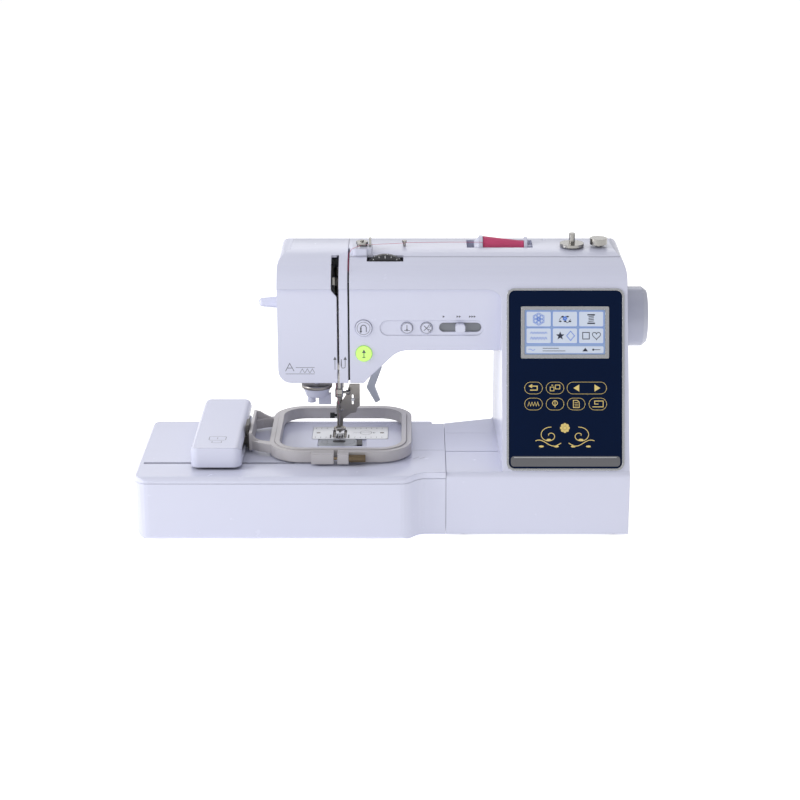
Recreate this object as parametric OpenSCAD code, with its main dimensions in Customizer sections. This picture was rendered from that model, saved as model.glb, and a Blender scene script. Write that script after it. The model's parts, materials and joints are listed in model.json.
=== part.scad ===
// Sewing and embroidery machine with a slide-on embroidery unit and hoop.
// Millimetres, +Z up, +X to the handwheel, front faces -Y.
// Origin: bottom centre of the whole object.

/* [Machine body] */
// Left end of the head (X), distance from the origin
head_left = 124.4; // [118:0.5:130]
// Right side of the body (X)
body_right = 251; // [247:1:255]
// Height of the bed surface
bed_h = 73; // [71:0.5:75]
// Front of the base (Y), distance from the origin
base_front = 82; // [78:1:86]
// Rear of the machine (Y)
base_rear = 98; // [96:1:98]
// Wall thickness of the covers
wall = 2.5; // [2:0.1:3]
// Height of the arm underside
arm_under = 188; // [184:1:190]
// Height of the head underside
head_under = 151; // [149:1:154]
// Height of the crease between the hood and the arm face
crease_h = 258; // [256:1:260]

/* [Embroidery unit] */
// Left side of the unit (X), distance from the origin
unit_left = 275; // [270:1:280]
// Front of the unit (Y), distance from the origin
unit_front = 98; // [94:1:98]
// Rear of the unit (Y)
unit_rear = 88; // [84:1:90]
// Width of the carriage
carriage_w = 54; // [50:1:56]

/* [Hoop] */
// Outside size of the square hoop
hoop_out = 154; // [150:1:156]
// Outside corner radius of the hoop
hoop_corner = 36; // [30:1:40]
// Radial width of each ring
ring_w = 5.3; // [5:0.1:5.4]

/* [Hidden] */
$fn = 48;
gap = 0.3;
foot_h = 3;
// arm face plane and rear split of the covers
face_y = -15;
split_y = 44;
top_seam = 285;
seam = 0.12;
// panel: sloping front of the column
slope_y0 = -78;
crease_y = -17;
slope_a = atan((crease_y - slope_y0) / (crease_h - bed_h));
slope_len = (crease_h - bed_h) / cos(slope_a);
// thread slots in the head front
slot_l0 = -60.6;
slot_l1 = -58.4;
slot_r0 = -49;
slot_r1 = -47.1;
// needle and presser bar
needle_x = -61;
needle_y = 40;
presser_y = 51;
foot_screw_z = 91.7;
// drive line
shaft_y = 38;
shaft_z = 211;
hook_y = 22;
low_z = 33;
seam_x = 56;
inner_wall_front = 116.3;
inner_wall_rear = 111.5;
hoop_x = -58;
hoop_y = 21;
carriage_x = -216;
winder_x = 192.3;
winder_y = 35;
spool_y = 47;
spool_z = 285.5;
rocker_x = -69;
rocker_z = 262;
lever_x = -22;
lever_z = 176;
dial_x = -9;
dial_z = 262;
takeup_y = 20;
takeup_z = 222;
hoop_half = hoop_out / 2;
clamp_y = hoop_y - hoop_half - 4.4;
arm_l = -136;
arm_f = -12;
arm_r = 76;

white = [0.86, 0.87, 0.92];
steel = [0.72, 0.72, 0.70];
dark = [0.12, 0.12, 0.13];
hoop_grey = [0.78, 0.77, 0.78];

// ---------- helpers ----------

// block between two corners
module block(x0, x1, y0, y1, z0, z1) {
    translate([x0, y0, z0])
        cube([x1 - x0, y1 - y0, z1 - z0]);
}

// profile drawn in (Y, Z), extruded from x0 to x1
module along_x(x0, x1) {
    translate([x0, 0, 0])
        rotate([90, 0, 90])
            linear_extrude(x1 - x0)
                children();
}

// profile drawn in (X, Z), extruded from y0 to y1
module along_y(y0, y1) {
    translate([0, y1, 0])
        rotate([90, 0, 0])
            linear_extrude(y1 - y0)
                children();
}

// profile drawn in (X, Y), extruded from z0 to z1
module along_z(z0, z1) {
    translate([0, 0, z0])
        linear_extrude(z1 - z0)
            children();
}

module rod_x(x0, x1, r, y, z) {
    along_x(x0, x1)
        translate([y, z])
            circle(r);
}

module rod_y(y0, y1, r, x, z) {
    along_y(y0, y1)
        translate([x, z])
            circle(r);
}

module rod_z(z0, z1, r, x, y) {
    along_z(z0, z1)
        translate([x, y])
            circle(r);
}

// rounded rectangle from corner to corner
module rrect(x0, x1, y0, y1, r) {
    translate([x0 + r, y0])
        square([x1 - x0 - 2 * r, y1 - y0]);
    translate([x0, y0 + r])
        square([x1 - x0, y1 - y0 - 2 * r]);
    for (x = [x0 + r, x1 - r], y = [y0 + r, y1 - r])
        translate([x, y])
            circle(r);
}

// points of an arc, and of a cubic curve
function arc(cx, cy, r, a0, a1, n = 8) =
    [for (i = [0:n]) [cx + r * cos(a0 + (a1 - a0) * i / n), cy + r * sin(a0 + (a1 - a0) * i / n)]];
function mix(a, b, c, d, t) =
    a * pow(1 - t, 3) + 3 * b * t * pow(1 - t, 2) + 3 * c * t * t * (1 - t) + d * pow(t, 3);
function curve(a, b, c, d, n = 10) = [for (i = [0:n]) mix(a, b, c, d, i / n)];

// local frame of the sloping panel: X along the machine, Y up the slope, Z outward
module on_panel() {
    translate([0, slope_y0, bed_h])
        rotate([90 - slope_a, 0, 0])
            children();
}

// ---------- machine body ----------

// side profile: apron, sloping panel front, domed top, rear wall
module side_profile() {
    polygon(concat(
        [[-base_front, foot_h], [-base_front, bed_h - 6]],
        arc(-base_front + 6, bed_h - 6, 6, 180, 125, 4),
        [[slope_y0, bed_h], [crease_y, crease_h]],
        curve([crease_y, crease_h], [-8, 285], [15, 290], [48, 290.5], 12),
        curve([48, 290.5], [75, 290.5], [base_rear, 290], [base_rear, 264], 12),
        [[base_rear, foot_h]]));
}

// front silhouette of the whole machine without the throat
module front_silhouette() {
    polygon(concat(
        [[-head_left, head_under - 20], [-head_left, 30], [-100, foot_h], [body_right, foot_h]],
        [[body_right, 66], [body_right - 2.5, 268]],
        curve([body_right - 2.5, 268], [body_right - 3, 284], [body_right - 12, 290], [228, 293], 8),
        [[-108, 293]],
        arc(-head_left + 13, 276, 13, 90, 180, 8)));
}

// plan line of the column's inner wall, slanted a little towards the rear
module wall_plan(grow) {
    slant = (inner_wall_front - inner_wall_rear) / (base_rear + base_front);
    polygon([[-400, -200], [inner_wall_front + grow + slant * 118, -200],
        [inner_wall_rear + grow - slant * 102, 200], [-400, 200]]);
}

// space under the arm and left of the base
module throat(grow) {
    intersection() {
        along_y(-200, 200)
            offset(delta = grow)
                polygon(concat(
                    [[-300, -20], [seam_x, -20], [seam_x, bed_h], [125, bed_h], [125, arm_under]],
                    arc(16, arm_under - 27, 27, 90, 130, 6),
                    [[-29, head_under + 4]],
                    arc(-34, head_under + 5, 5, -50, -90, 3),
                    arc(-head_left + 14, head_under + 14, 14, 270, 180, 6),
                    [[-300, head_under + 16]]));
        along_z(-30, 400)
            wall_plan(grow);
    }
}

// the arm face is set back below the crease, with a rounded inside corner at the column
module arm_recess(grow) {
    corner = 18;
    intersection() {
        along_y(-200, face_y + grow)
            offset(delta = grow)
                rrect(-300, inner_wall_front + 1, -100, crease_h - 2, corner);
        along_z(bed_h - 0.5, 400)
            wall_plan(grow);
    }
}

module machine_solid(inset) {
    difference() {
        intersection() {
            along_x(-head_left - 5, body_right + 5)
                offset(delta = -inset)
                    side_profile();
            along_y(-base_front - 5, base_rear + 5)
                offset(delta = -inset)
                    front_silhouette();
        }
        throat(inset);
        arm_recess(inset);
        along_z(-20, bed_h + 6)
            offset(delta = inset)
                polygon([[40, 72], [110.5, 94.5], [110.5, 200], [40, 200]]);
    }
}

// plan of the machine's base
module base_plan() {
    polygon([[seam_x, -base_front], [body_right, -base_front], [body_right, base_rear],
        [110.5, base_rear], [110.5, 94.5], [seam_x, 77.1]]);
}

module machine_shell() {
    difference() {
        machine_solid(0);
        machine_solid(wall);
        // opening in the seam wall for the shaft and beam of the free arm
        block(seam_x - 1, seam_x + wall + 1, arm_f + 6, arm_r - 6, 24, bed_h - 6);
        // open underside, closed by the base pan
        along_z(-1, foot_h + wall + 1)
            offset(delta = -wall)
                base_plan();
    }
}

// opening in the head underside for the needle and presser parts
module head_opening() {
    block(-108, -36, 24, 74, head_under - 10, head_under + wall + 3);
}

// thread slots and the take-up window
module thread_slots() {
    block(slot_l0, slot_l1, -40, 30, head_under - 10, 286);
    block(slot_r0, slot_r1, -40, 30, head_under - 10, 320);
    along_y(-40, 12)
        polygon([[-66.4, 254], [slot_l0 - 0.01, 247], [slot_l1, 247], [slot_l1, 286], [-66.4, 286]]);
}

// round and long openings of the arm face controls
module control_holes() {
    for (b = [[-32.1, 212.9, 8.9], [-31.9, 184.4, 8.6], [14.3, 212.9, 6.2], [35.2, 212.9, 6.2]])
        rod_y(face_y - 5, face_y + wall + 5, b[2] + 0.4, b[0], b[1]);
    along_y(face_y - 5, face_y + wall + 5)
        rrect(48.8, 93.8, 208.4, 218.6, 5);
    // shallow recess shared by the small buttons and the slider
    along_y(face_y - 5, face_y + 0.8)
        rrect(-14.5, 96, 204.6, 221.2, 8.2);
}

module dial_opening() {
    block(-28.5, 10.5, 2, 12, 268, 300);
}

module top_holes() {
    // trough of the spool
    rod_x(79, 150, 16, spool_y, spool_z);
    // winder shaft and stop
    along_z(270, 300)
        rrect(winder_x - 3.7, winder_x + 8.7, winder_y - 3.7, winder_y + 3.7, 3.6);
    // notch in the rear edge of the top
    along_y(60, 120)
        polygon([[158, 295], [162.5, 289.3], [165, 289.3], [165, 295]]);
}

module front_housing() {
    color(white)
        difference() {
            intersection() {
                machine_shell();
                block(slot_r0 + gap, body_right + 5, -base_front - 5, split_y - seam / 2, 0, top_seam - seam / 2);
            }
            head_opening();
            control_holes();
            dial_opening();
            on_panel()
                block(122, 243, 2.9, slope_len - 2.9, -9, 6);
            rod_x(body_right - 10, body_right + 10, 9, shaft_y, shaft_z);
            thread_slots();
        }
}

module rear_housing() {
    color(white)
        difference() {
            intersection() {
                machine_shell();
                block(-head_left - 5, body_right + 5, split_y + seam / 2, base_rear + 5, 0, top_seam - seam / 2);
            }
            head_opening();
            rod_x(body_right - 10, body_right + 10, 9, shaft_y, shaft_z);
            // mains side: switch and inlet windows
            block(body_right - 8, body_right + 8, 52, 66, 76, 100);
            block(body_right - 8, body_right + 8, 54, 76, 26, 44);
            // cooling slots
            for (i = [0:9])
                along_y(base_rear - 8, base_rear + 8)
                    rrect(150 + 8 * i, 153 + 8 * i, 96, 136, 1.4);
            // presser lever slot
            block(-37, 2, 46.5, 56.5, head_under - 5, 192);
        }
}

// trough lining under the spool
module spool_trough() {
    intersection() {
        rod_x(77, 152, 18, spool_y, spool_z);
        along_x(76, 154)
            offset(delta = -0.6)
                side_profile();
    }
}

module top_cover() {
    color(white)
        difference() {
            union() {
                intersection() {
                    machine_shell();
                    block(slot_r0 + gap, body_right + 5, -base_front, base_rear + 5, top_seam + seam / 2, 300);
                }
                spool_trough();
                // raised seat of the pretension disc
                along_z(286, 293.5)
                    rrect(-44, -23, 10, 36, 4);
            }
            dial_opening();
            thread_slots();
            top_holes();
        }
}

// head cover with the strip between the two thread slots
module face_cover() {
    color(white)
        difference() {
            intersection() {
                machine_shell();
                union() {
                    block(-head_left - 5, slot_r0, -base_front, split_y - seam / 2, 100, 300);
                    block(-head_left - 5, slot_r0, 30, base_rear + 5, top_seam + seam / 2, 300);
                }
            }
            head_opening();
            thread_slots();
            // slot of the threader lever
            block(-head_left - 5, -head_left + 8, 27.5, 32.5, 168, 238);
        }
}

module base_pan() {
    color([0.8, 0.81, 0.85])
        along_z(foot_h, 6)
            offset(delta = -wall - gap)
                base_plan();
}

module rubber_feet() {
    color(dark) {
        for (p = [[75, -68], [236, -68], [236, 84], [128, 84]])
            rod_z(0, foot_h, 7, p[0], p[1]);
        for (p = [[-250, -78], [-250, 66], [-150, -78], [-20, -78]])
            rod_z(0, foot_h, 7, p[0], p[1]);
    }
}

// cast frame: base, column web, upper beam, head plate and lower beam
module main_frame() {
    color([0.62, 0.63, 0.64])
        difference() {
            union() {
                block(66, 240, -60, 70, 6, 14);
                block(136, 146, 8, 66, 14, 262);
                block(-36, 140, 56, 62, 196, 246);
                block(-36, -30, 10, 62, 196, 262);
                block(-100, -30, 58, 64, 178, 270);
                // presser bar and threader guides
                for (z = [180, 236])
                    block(-66, -56, 46.5, 60, z, z + 7);
                for (z = [180, 228])
                    block(-92, -80, 40, 60, z, z + 8);
                // presser lever lug
                block(-30, -17, 58, 64, 172, 200);
                rod_y(48, 60, 2.5, lever_x, lever_z);
                // take-up stud and threader slide rod
                rod_x(-67, -33, 2.5, takeup_y, takeup_z);
                block(-112, -99, 58, 64, 250, 262);
                block(-114, -109, 24, 64, 256, 262);
                rod_z(158, 260, 2, -111.5, 30);
                // lower beam with hook and feed supports
                block(-96, 140, 50, 62, 26, 40);
                block(-72, -55.5, 12, 55, 25, 29.5);
                block(-46, -36, 14, 55, 26, 42);
                block(-72, -50, 60, 66, 26, 64);
                for (x = [-68.5, -53.5])
                    rod_y(43, 61, 1.5, x, 59);
                // motor cradle
                block(180, 205, -8, 18, 12, 92);
                // winder bearing arm
                block(140, 200, 30, 40, 250, 258);
                // tension bracket
                block(-20, 2, 12, 18, 240, 272);
                block(-20, -14, 12, 60, 240, 246);
            }
            rod_x(-40, 150, 6.05, shaft_y, shaft_z);
            rod_x(-50, 150, 4.05, hook_y, low_z);
            rod_z(20, 35, 4.05, needle_x, hook_y);
            rod_z(170, 250, 3.05, needle_x, presser_y);
            rod_z(170, 240, 3.05, -86, 45);
            rod_y(50, 70, 2.05, rocker_x, rocker_z);
            rod_y(5, 30, 4.05, dial_x, dial_z);
            rod_x(170, 215, 24.05, 5, 110);
            rod_z(245, 262, 3.25, winder_x, winder_y);
        }
}

module free_arm_cover() {
    color(white)
        difference() {
            block(arm_l, seam_x - gap, arm_f, arm_r, 22, bed_h);
            block(arm_l + wall, seam_x + 5, arm_f + wall, arm_r - wall, 22 + wall, bed_h - wall);
            // seats of the needle plate and the bobbin cover
            block(-91.4, -7.2, 23.8, 64.2, bed_h - 1.5, bed_h + 1);
            block(-88, -10, 27, 61, bed_h - 6, bed_h + 1);
            block(-84.2, -30.8, 0.8, 24, bed_h - 2, bed_h + 1);
            block(-82, -41, 3, 28, bed_h - 6, bed_h + 1);
            rod_z(bed_h - 6, bed_h + 1, 18.5, needle_x, hook_y);
        }
}

module needle_plate() {
    color(steel)
        difference() {
            along_z(bed_h - 1.5, bed_h + 0.3)
                rrect(-91.2, -7.4, 24, 64, 2);
            along_z(60, 80) {
                rrect(needle_x - 4.8, needle_x + 4.8, needle_y - 1.2, needle_y + 1.2, 1.19);
                for (x = [-67.2, -54.8])
                    rrect(x - 1.5, x + 1.5, 28, 54.5, 1.4);
                rrect(needle_x - 1.5, needle_x + 1.5, 44.8, 54.5, 1.4);
            }
            // screw recesses
            for (x = [-85, -14])
                rod_z(bed_h - 0.5, bed_h + 1, 2.5, x, 44);
        }
}

module bobbin_cover() {
    color([0.8, 0.85, 0.9, 0.5])
        along_z(bed_h - 1.8, bed_h + 0.2)
            rrect(-84, -41.4, 1, 23.6, 5);
}

module bobbin_latch() {
    color(white)
        along_z(bed_h - 1.8, bed_h + 0.5)
            rrect(-41, -35.4, 4, 20, 1);
}

// ---------- control panel ----------

module panel_bezel() {
    color(steel)
        on_panel() {
            difference() {
                linear_extrude(1.2)
                    rrect(120.2, 245.1, 0.6, slope_len - 0.6, 8.5);
                translate([0, 0, -10])
                    linear_extrude(20)
                        rrect(122.4, 242.8, 2.8, slope_len - 2.8, 6.5);
            }
        }
}

module panel_glass() {
    color([0.02, 0.06, 0.18])
        on_panel()
            difference() {
                translate([0, 0, -1.8])
                    linear_extrude(2.4)
                        rrect(122.7, 242.5, 3.1, slope_len - 3.1, 6.2);
                translate([135.2, 119.7, -5])
                    cube([93.8, 55.4, 10]);
            }
}

module lcd_frame() {
    color(steel)
        on_panel()
            translate([0, 0, -1.8])
                difference() {
                    linear_extrude(2.7)
                        rrect(135.4, 228.8, 119.9, 174.9, 1.5);
                    translate([139.2, 123.9, -1])
                        cube([85.6, 47.6, 5]);
                }
}

module lcd_screen() {
    color([0.75, 0.86, 0.97])
        on_panel()
            translate([139.4, 124.1, -3])
                cube([85.2, 47.2, 3.2]);
}

module control_board() {
    color([0.1, 0.35, 0.2])
        on_panel() {
            translate([127, 10, -14])
                cube([110, slope_len - 30, 1.6]);
            for (i = [0:2])
                translate([140 + 30 * i, 30, -18])
                    cube([16, 16, 4.5]);
            translate([136, 118, -12.6])
                cube([92, 60, 8]);
        }
}

// ---------- drive ----------

module motor() {
    color([0.2, 0.2, 0.22])
        difference() {
            union() {
                rod_x(165, 220, 24, 5, 110);
                rod_x(220, 222, 8, 5, 110);
            }
            rod_x(215, 225, 2.55, 5, 110);
        }
}

// wheel with straight tooth gaps, each about half a pitch wide
module toothed_wheel(x0, x1, r, y, z, teeth) {
    half_gap = 1.5 * r / teeth;
    difference() {
        rod_x(x0, x1, r, y, z);
        for (i = [0:teeth - 1])
            translate([0, y, z])
                rotate([360 / teeth * i, 0, 0])
                    block(x0 - 1, x1 + 1, r - 0.9, r + 1, -half_gap, half_gap);
    }
}

module motor_pulley() {
    color(steel) {
        toothed_wheel(224, 236, 7.5, 5, 110, 15);
        rod_x(216, 225, 2.5, 5, 110);
    }
}

// belt loop in a plane of constant X around two wheels
module belt(x0, x1, a, ra, b, rb) {
    along_x(x0, x1)
        difference() {
            hull() {
                translate(a)
                    circle(ra + 1.8);
                translate(b)
                    circle(rb + 1.8);
            }
            hull() {
                translate(a)
                    circle(ra + 0.3);
                translate(b)
                    circle(rb + 0.3);
            }
        }
}

module drive_belts() {
    color(dark) {
        belt(226.5, 233.5, [shaft_y, shaft_z], 26, [5, 110], 7.5);
        belt(150.5, 157.5, [shaft_y, shaft_z], 14, [hook_y, low_z], 14);
    }
}

module upper_shaft() {
    color(steel) {
        rod_x(-44, 263.5, 6, shaft_y, shaft_z);
        rod_x(-44, -38, 15, shaft_y, shaft_z);
        rod_x(-47, -43, 3, shaft_y, shaft_z + 11);
        toothed_wheel(150, 158, 14, shaft_y, shaft_z, 30);
        toothed_wheel(226, 234, 26, shaft_y, shaft_z, 52);
    }
}

module handwheel() {
    color(white)
        difference() {
            union() {
                rod_x(246, 253, 8, shaft_y, shaft_z);
                rod_x(252.2, 270, 32.5, shaft_y, shaft_z);
                translate([270, shaft_y, shaft_z])
                    rotate([0, 90, 0])
                        cylinder(h = 5, r1 = 32.5, r2 = 28.5);
            }
            rod_x(240, 263.6, 6.02, shaft_y, shaft_z);
            rod_x(272.5, 280, 23, shaft_y, shaft_z);
        }
}

module lower_shaft() {
    color(steel) {
        rod_x(-50, 160, 4, hook_y, low_z);
        toothed_wheel(150, 158, 14, hook_y, low_z, 30);
        // face gear that drives the hook pinion
        difference() {
            rod_x(-54.8, -49, 8, hook_y, low_z);
            for (i = [0:15])
                translate([0, hook_y, low_z])
                    rotate([22.5 * i, 0, 0])
                        block(-56, -53.8, 5, 9, -0.7, 0.7);
        }
    }
}

module rotary_hook() {
    color(steel)
        difference() {
            union() {
                rod_z(24.6, 51, 4, needle_x, hook_y);
                rod_z(38, 47, 5.6, needle_x, hook_y);
                rod_z(50, 66, 17.2, needle_x, hook_y);
            }
            rod_z(52, 70, 15.4, needle_x, hook_y);
            // window in the hook wall
            block(needle_x - 5, needle_x + 5, hook_y - 25, hook_y - 10, 55, 70);
        }
}

module bobbin_case() {
    color(dark)
        difference() {
            rod_z(52.4, 66.4, 14.8, needle_x, hook_y);
            rod_z(53.6, 70, 10.8, needle_x, hook_y);
        }
}

module bobbin() {
    color([0.85, 0.85, 0.88])
        difference() {
            union() {
                rod_z(53.8, 55, 10.3, needle_x, hook_y);
                rod_z(64.2, 65.4, 10.3, needle_x, hook_y);
                rod_z(54.5, 65, 7.5, needle_x, hook_y);
            }
            rod_z(50, 70, 3, needle_x, hook_y);
        }
}

module feed_bar() {
    color(steel)
        difference() {
            block(-72, -50, 46, 56, 55, 63);
            block(-64.1, -57.9, 47.9, 52.1, 50, 70);
            for (x = [-68.5, -53.5])
                rod_y(40, 60, 1.55, x, 59);
        }
}

module feed_dogs() {
    color(steel)
        difference() {
            union() {
                block(-69, -53, 31, 52, 67.2, 69.2);
                block(-64, -58, 48, 52, 57, 68);
                for (x = [-67.2, -54.8])
                    block(x - 0.9, x + 0.9, 31.2, 51.4, 68.5, 72.2);
                block(needle_x - 0.9, needle_x + 0.9, 48, 51.4, 68.5, 72.2);
            }
            block(-65.7, -56.3, 36.5, 43.5, 60, 75);
            // tooth gaps
            for (i = [0:9])
                block(-70, -52, 32.6 + 1.9 * i, 33.4 + 1.9 * i, 71.5, 75);
        }
}

// ---------- needle and presser parts ----------

module take_up_lever() {
    color(steel)
        difference() {
            union() {
                rod_x(-65.5, -62.5, 6, takeup_y, takeup_z);
                along_x(-65.3, -62.7)
                    polygon([[takeup_y - 5.5, takeup_z - 2], [takeup_y + 4, takeup_z + 4], [2, 266],
                        [-5, 266], [-6, 258]]);
            }
            rod_x(-70, -60, 2.55, takeup_y, takeup_z);
            rod_x(-70, -60, 1.2, -1.5, 262);
        }
}

module needle_rocker() {
    color(steel) {
        difference() {
            union() {
                block(-72, -66, 35.5, 44.5, 186, 268);
                for (z = [186, 246])
                    block(-67, -56, 35.5, 44.5, z, z + 8);
            }
            rod_z(170, 280, 3.55, needle_x, needle_y);
        }
        rod_y(36, 63, 2, rocker_x, rocker_z);
    }
}

module needle_bar() {
    color(steel)
        difference() {
            union() {
                rod_z(119, 266, 3.5, needle_x, needle_y);
                rod_z(119, 126, 4.2, needle_x, needle_y);
                // stud block and link towards the crank
                rod_z(226, 236, 5, needle_x, needle_y);
                rod_x(-60, -50, 2.5, needle_y, 231);
                along_x(-51.5, -48)
                    hull() {
                        translate([needle_y, 231])
                            circle(4.5);
                        translate([shaft_y, 222])
                            circle(4.5);
                    }
            }
            rod_z(110, 127, 1.03, needle_x, needle_y);
            rod_x(-60.5, -55, 1.55, needle_y, 122.5);
        }
}

module needle() {
    color(steel)
        difference() {
            union() {
                rod_z(98, 126.5, 1, needle_x, needle_y);
                rod_z(82, 98, 0.6, needle_x, needle_y);
                translate([needle_x, needle_y, 79])
                    cylinder(h = 3, r1 = 0.1, r2 = 0.6);
            }
            rod_y(30, 50, 0.25, needle_x, 83.5);
        }
}

module needle_screw() {
    color(steel) {
        rod_x(-59.9, -53, 1.5, needle_y, 122.5);
        difference() {
            rod_x(-53.5, -49, 2.6, needle_y, 122.5);
            block(-49.8, -48, needle_y - 3, needle_y + 3, 122.1, 122.9);
        }
    }
}

module presser_bar() {
    color(steel)
        rod_z(88.4, 262, 3, needle_x, presser_y);
}

module embroidery_foot() {
    color(steel) {
        difference() {
            rod_z(79, 81.2, 6.6, needle_x, needle_y);
            rod_z(70, 90, 4.4, needle_x, needle_y);
        }
        along_y(45.2, 47.6)
            difference() {
                polygon([[-64, 79], [-58, 79], [-57, 90], [-49, 96], [-43, 97], [-41, 103], [-38.5, 105],
                    [-38.5, 130], [-50, 130], [-53, 119], [-62, 104], [-64, 100]]);
                rrect(-47.5, -45.5, 106, 118, 0.9);
            }
    }
}

module foot_screw() {
    color(steel)
        difference() {
            union() {
                rod_x(-72, -67, 3.2, presser_y, foot_screw_z);
                rod_x(-68, -64.05, 1.5, presser_y, foot_screw_z);
            }
            block(-73, -71.2, presser_y - 4, presser_y + 4, foot_screw_z - 0.4, foot_screw_z + 0.4);
        }
}

module presser_lever() {
    color([0.75, 0.8, 0.85])
        difference() {
            union() {
                rod_y(49, 54, 6, lever_x, lever_z);
                along_y(49, 54)
                    polygon([[lever_x - 5.8, lever_z - 1], [lever_x + 5.8, lever_z - 1], [-14, 148],
                        [-22, 126], [-16, 110], [-21, 107], [-31, 125], [-23, 147]]);
            }
            rod_y(40, 60, 2.55, lever_x, lever_z);
        }
}

module threader_lever() {
    color(white)
        difference() {
            union() {
                translate([-head_left - 1, 30, 229])
                    rotate([0, -90, 0])
                        cylinder(h = 17, r1 = 6.5, r2 = 5);
                translate([-head_left - 18, 30, 229])
                    sphere(5);
                rod_x(-126, -113, 2.2, 30, 229);
                block(-115.5, -107.5, 26, 34, 219, 240);
            }
            rod_z(200, 260, 2.05, -111.5, 30);
        }
}

module threader_unit() {
    color(white) {
        rod_z(126, 256, 3, -86, 45);
        rod_z(128, 131.5, 17, -86, 45);
        translate([-86, 45, 118])
            cylinder(h = 10, r1 = 12, r2 = 16);
        rod_z(110, 119, 4.5, -92, 45);
        block(-84, -70.5, 41, 47.3, 108, 120);
    }
}

// ---------- controls ----------

// push button with a stem and a retaining collar behind the face
module push_button(x, z, r, proud) {
    rod_y(face_y - proud, face_y + wall + 2, r, x, z);
    rod_y(face_y + wall + 1.7, face_y + wall + 2.9, r + 1.4, x, z);
    rod_y(face_y + wall + 2.5, face_y + wall + 7, r * 0.4, x, z);
}

module reverse_button() {
    color(white)
        push_button(-32.1, 212.9, 8.9, 1.4);
}

module start_button() {
    color([0.78, 0.95, 0.48])
        push_button(-31.9, 184.4, 8.6, 1.6);
}

module needle_button() {
    color(white)
        push_button(14.3, 212.9, 6.2, 0.6);
}

module cutter_button() {
    color(white)
        push_button(35.2, 212.9, 6.2, 0.6);
}

module speed_slider() {
    color(white) {
        along_y(face_y - 5, face_y + 4)
            rrect(66, 76.6, 208.9, 218.1, 3);
        block(62, 80.6, face_y + 3.2, face_y + 5, 206, 221);
    }
}

module tension_dial() {
    color(dark) {
        difference() {
            rod_y(4, 10, 26.5, dial_x, dial_z);
            for (i = [0:35])
                translate([dial_x, 0, dial_z])
                    rotate([0, 10 * i, 0])
                        rod_y(3, 11, 0.8, 27, 0);
        }
        rod_y(9, 24, 4, dial_x, dial_z);
    }
}

module guide_posts() {
    color(steel) {
        // pretension disc with its pin and spring strip
        rod_z(293.5, 295, 5.5, -34, 24);
        rod_z(294.5, 300, 2, -34, 24);
        rod_z(296, 298.5, 6.5, -34, 24);
        block(-26.5, -24, 20, 28, 293.5, 302);
        // small thread guide
        rod_z(290.5, 296.5, 1.6, 11.4, 36);
        rod_z(294.5, 296.5, 2.6, 11.4, 36);
        // winder stop
        rod_z(290.6, 294, 3.5, 221, winder_y);
        rod_z(293, 299.5, 9.4, 221, winder_y);
    }
}

module spool_pin() {
    color(white) {
        rod_x(89, 149.9, 3.2, spool_y, spool_z);
        rod_x(141, 144.5, 12, spool_y, spool_z);
    }
}

module spool_cap() {
    color(white)
        difference() {
            union() {
                translate([87, spool_y, spool_z])
                    rotate([0, 90, 0])
                        cylinder(h = 5, r1 = 8, r2 = 12);
                rod_x(92, 96.2, 13.6, spool_y, spool_z);
            }
            rod_x(80, 100, 3.25, spool_y, spool_z);
        }
}

module thread_spool() {
    color([0.78, 0.25, 0.45])
        difference() {
            union() {
                translate([96.6, spool_y, spool_z])
                    rotate([0, 90, 0])
                        cylinder(h = 41, r1 = 12.8, r2 = 8);
                rod_x(137, 140.7, 8, spool_y, spool_z);
            }
            rod_x(90, 145, 3.3, spool_y, spool_z);
        }
}

module winder_shaft() {
    color(steel) {
        rod_z(248, 305, 3.2, winder_x, winder_y);
        rod_z(291, 294, 13, winder_x, winder_y);
    }
}

module power_inlet() {
    color(dark) {
        difference() {
            block(240, body_right - 0.2, 54.2, 75.8, 26.2, 43.8);
            block(243, body_right + 1, 57, 73, 29, 41);
        }
        for (y = [60.6, 69.4])
            rod_x(242, 249.5, 1.2, y, 35);
    }
}

module power_switch() {
    color(dark) {
        along_y(52.4, 65.6)
            polygon([[243, 82], [247, 77.4], [251.6, 76.8], [252.8, 78], [251.4, 88], [252.8, 98],
                [251.6, 99.2], [247, 98.6], [243, 94]]);
        rod_y(50, 68, 1.2, 246, 88);
    }
}

// ---------- embroidery unit ----------

// plan of the unit: left block with front and rear strips around the free arm
module unit_plan() {
    polygon(concat(
        [[seam_x - gap, -base_front]],
        curve([34, -base_front], [22, -base_front], [20, -unit_front], [8, -unit_front], 8),
        arc(-unit_left + 16, -unit_front + 16, 16, 270, 180, 6),
        arc(-unit_left + 20, unit_rear - 20, 20, 180, 90, 6),
        arc(34, unit_rear - 8, 8, 90, 0, 4),
        [[42, arm_r + gap], [arm_l - gap, arm_r + gap], [arm_l - gap, arm_f - gap],
            [seam_x - gap, arm_f - gap]]));
}

module unit_solid(inset) {
    intersection() {
        along_z(foot_h + inset, bed_h - inset)
            offset(delta = -inset)
                unit_plan();
        along_y(-150, 150)
            offset(delta = -inset)
                polygon(concat(
                    arc(-unit_left + 14, foot_h + 13, 13, 270, 180, 6),
                    [[-unit_left, bed_h - 4], [-unit_left + 3, bed_h], [80, bed_h], [80, foot_h]]));
        along_x(-300, 100)
            offset(delta = -inset)
                polygon(concat(
                    arc(-unit_front + 4, foot_h + 4, 4, 270, 180, 3),
                    arc(-unit_front + 5, bed_h - 5, 5, 180, 90, 4),
                    arc(unit_rear - 5, bed_h - 5, 5, 90, 0, 4),
                    [[unit_rear, foot_h]]));
    }
}

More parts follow.
